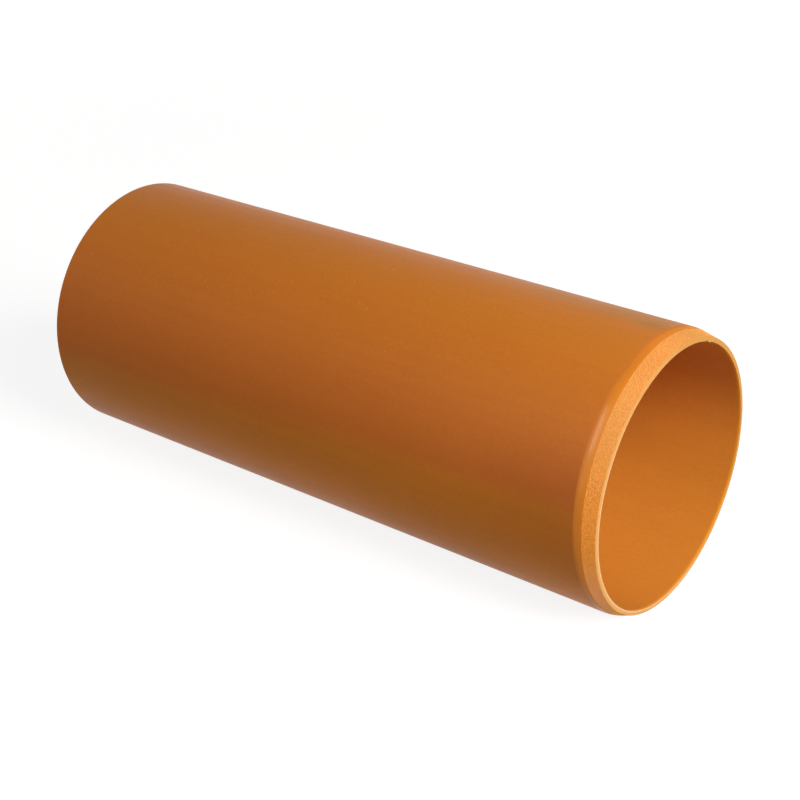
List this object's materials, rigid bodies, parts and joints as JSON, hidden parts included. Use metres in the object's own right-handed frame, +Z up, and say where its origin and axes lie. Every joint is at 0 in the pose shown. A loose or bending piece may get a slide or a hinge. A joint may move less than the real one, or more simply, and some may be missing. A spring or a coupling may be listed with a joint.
{
  "type": "drain pipe",
  "caption": "Round rigid plastic drain pipe, sawn square at one end and chamfered to a spigot at the other, to push into a socket.",
  "frame": {"origin": "on the floor, under the middle of the pipe's length", "axes": "+X along the pipe, towards the chamfered spigot; +Z up; the pipe lies on its side on Z = 0"},
  "size_m": [0.273, 0.11, 0.11],
  "materials": {
    "orange_brown_pvc": "satin"
  },
  "bodies": {
    "root": {"drain_pipe": "orange_brown_pvc"}
  },
  "joints": []
}
